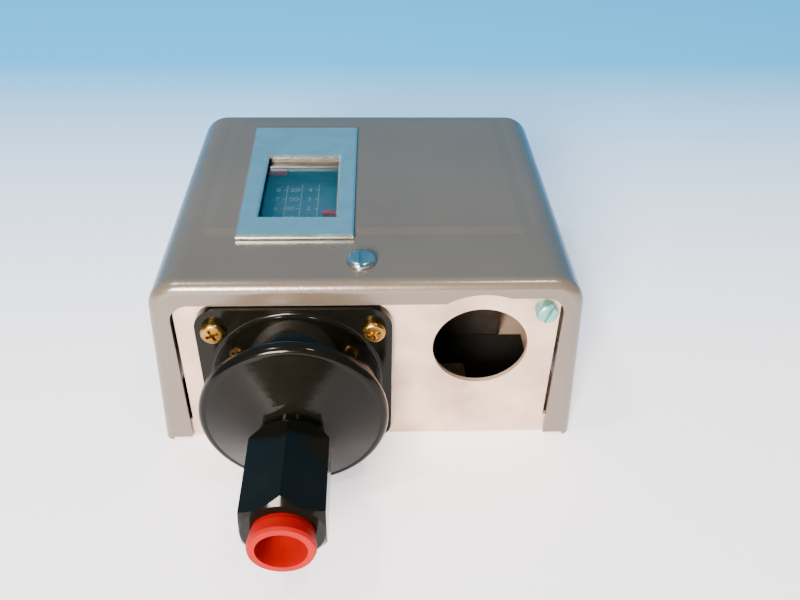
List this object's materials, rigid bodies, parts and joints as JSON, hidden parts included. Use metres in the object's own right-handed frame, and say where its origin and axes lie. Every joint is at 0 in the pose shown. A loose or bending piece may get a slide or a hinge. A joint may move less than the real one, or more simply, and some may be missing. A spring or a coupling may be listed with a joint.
{
  "type": "pressure switch",
  "caption": "Refrigeration-style pressure control: lift-off steel cover with scale window, bellows element with hexagon pressure port, conduit hole and adjustable snap switch.",
  "frame": {"origin": "middle of the case's back face, the face that is screwed to a wall or panel", "axes": "+Z out of the back face towards the cover's top, +Y along the length away from the pressure connection, +X towards the conduit hole"},
  "size_m": [0.102, 0.1357, 0.0495],
  "materials": {
    "galvanised": "matt zinc coating",
    "cover_paint": "satin beige-grey paint",
    "zinc": "bright zinc plate",
    "bezel_metal": "bright rolled",
    "clear_window": "clear gloss",
    "scale_print": "printed satin",
    "black_enamel": "gloss black enamel",
    "red_plastic": "soft satin plastic",
    "brass_plating": "yellow plated",
    "green_plating": "green dyed plating",
    "bronze": "drawn bronze",
    "plated_steel": "plated pressed steel",
    "spring_steel": "drawn wire",
    "brass": "machined",
    "red_pointer": "red enamel",
    "dark_moulding": "dark phenolic moulding",
    "white_moulding": "nylon",
    "copper_alloy": "rolled strip",
    "fibre": "grey-brown vulcanised fibre",
    "black_fibre": "black insulating sheet"
  },
  "bodies": {
    "case": {"case": "galvanised", "side_lips": "galvanised", "front_wall": "galvanised", "rear_wall": "galvanised", "element_housing": "black_enamel", "element_end_disc": "black_enamel", "pressure_connector": "black_enamel", "element_screws": "brass_plating", "bellows": "bronze", "lever_bracket": "plated_steel", "lever_pin": "zinc", "range_spring": "spring_steel", "differential_spring": "spring_steel", "scale_bracket": "galvanised", "scale_plate": "scale_print", "bracket_rivets": "zinc", "switch_housing": "dark_moulding", "switch_lid": "dark_moulding", "contact_pin": "copper_alloy", "line_terminal": "brass", "load_terminal": "brass", "terminal_screws": "brass", "switch_screws": "zinc", "fibre_barrier": "fibre", "floor_liner": "black_fibre"},
    "cover": {"cover": "cover_paint", "name_plate": "bezel_metal", "window_lens": "clear_window"},
    "cover_screw": {"cover_screw": "zinc"},
    "port_plug": {"port_plug": "red_plastic"},
    "ground_screw": {"ground_screw": "green_plating"},
    "main_lever": {"main_lever": "plated_steel"},
    "push_rod": {"push_rod": "zinc"},
    "switch_plunger": {"switch_plunger": "white_moulding"},
    "contact_arm": {"contact_arm": "copper_alloy"},
    "range_screw": {"range_screw": "zinc"},
    "range_nut": {"range_nut": "brass", "range_pointer": "red_pointer"},
    "differential_screw": {"differential_screw": "zinc"},
    "differential_nut": {"differential_nut": "brass", "differential_pointer": "red_pointer"}
  },
  "joints": [
    {"name": "cover_lift", "type": "slide", "parent": "case", "child": "cover", "axis": [0, 0, 1], "range_m": [0, 0.06]},
    {"name": "cover_screw_turn", "type": "hinge", "parent": "cover", "child": "cover_screw", "pos_m": [-0.0014, -0.0344, 0.048], "axis": [0, 0, 1], "continuous": true},
    {"name": "port_plug_pull", "type": "slide", "parent": "case", "child": "port_plug", "axis": [0, -1, 0], "range_m": [0, 0.025]},
    {"name": "ground_screw_turn", "type": "hinge", "parent": "case", "child": "ground_screw", "pos_m": [0.0399, -0.043, 0.0403], "axis": [0, 1, 0], "continuous": true},
    {"name": "main_lever_pivot", "type": "hinge", "parent": "case", "child": "main_lever", "pos_m": [-0.038, -0.032, 0.02], "axis": [0, 0, 1], "range_deg": [0, 3], "stiffness_Nm_per_rad": 4, "springref_deg": -1.15},
    {"name": "push_rod_slide", "type": "slide", "parent": "case", "child": "push_rod", "axis": [0, 1, 0], "range_m": [0, 0.0012], "deforming": ["bellows"]},
    {"name": "switch_plunger_slide", "type": "slide", "parent": "case", "child": "switch_plunger", "axis": [0, 1, 0], "range_m": [0, 0.003]},
    {"name": "contact_arm_swing", "type": "hinge", "parent": "case", "child": "contact_arm", "pos_m": [0.033, 0.0054, 0.014], "axis": [0, 0, 1], "range_deg": [-11, 0]},
    {"name": "range_nut_travel", "type": "slide", "parent": "case", "child": "range_nut", "axis": [0, 1, 0], "range_m": [-0.008, 0.008], "deforming": ["range_spring"]},
    {"name": "range_screw_turn", "type": "hinge", "parent": "case", "child": "range_screw", "pos_m": [-0.0166, 0.043, 0.0214], "axis": [0, 1, 0], "range_deg": [-2880, 2880]},
    {"name": "differential_nut_travel", "type": "slide", "parent": "case", "child": "differential_nut", "axis": [0, 1, 0], "range_m": [-0.006, 0.007], "deforming": ["differential_spring"]},
    {"name": "differential_screw_turn", "type": "hinge", "parent": "case", "child": "differential_screw", "pos_m": [-0.001, 0.043, 0.0214], "axis": [0, 1, 0], "range_deg": [-3090, 3610]}
  ],
  "couplings": [
    {"joint": "push_rod_slide", "follows": "main_lever_pivot", "m_per_rad": 0.0214},
    {"joint": "switch_plunger_slide", "follows": "main_lever_pivot", "m_per_rad": 0.0555},
    {"joint": "contact_arm_swing", "follows": "main_lever_pivot", "ratio": -3.55},
    {"joint": "range_screw_turn", "follows": "range_nut_travel", "rad_per_m": 6283.2},
    {"joint": "differential_screw_turn", "follows": "differential_nut_travel", "rad_per_m": 8976}
  ]
}
